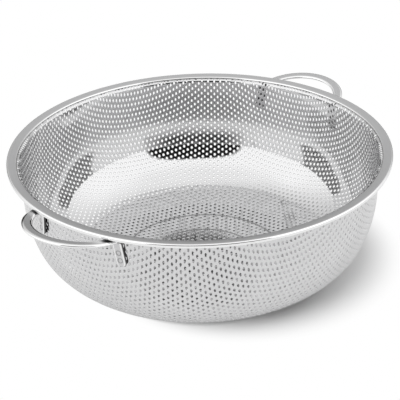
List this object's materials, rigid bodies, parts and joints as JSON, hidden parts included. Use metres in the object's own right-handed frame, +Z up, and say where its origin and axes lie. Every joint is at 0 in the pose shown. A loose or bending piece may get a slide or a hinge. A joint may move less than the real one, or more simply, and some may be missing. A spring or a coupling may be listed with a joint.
{
  "type": "colander",
  "caption": "Deep round steel colander: finely perforated bowl, wide flat rim band, low ring foot and welded strap handles on opposite sides.",
  "frame": {"origin": "centre of the ring foot, on the surface that the colander stands on", "axes": "+Z up along the bowl's axis, +X through the middle of the right handle"},
  "size_m": [0.3388, 0.29, 0.1071],
  "materials": {
    "perforated_steel": "polished sheet, finely perforated all over",
    "satin_steel": "satin on the flats, brighter on the rounded edges",
    "handle_steel": "satin strap with polished edges"
  },
  "bodies": {
    "root": {"bowl": "perforated_steel", "rim_band": "satin_steel", "base_ring": "satin_steel", "handle_left": "handle_steel", "handle_right": "handle_steel"}
  },
  "joints": []
}
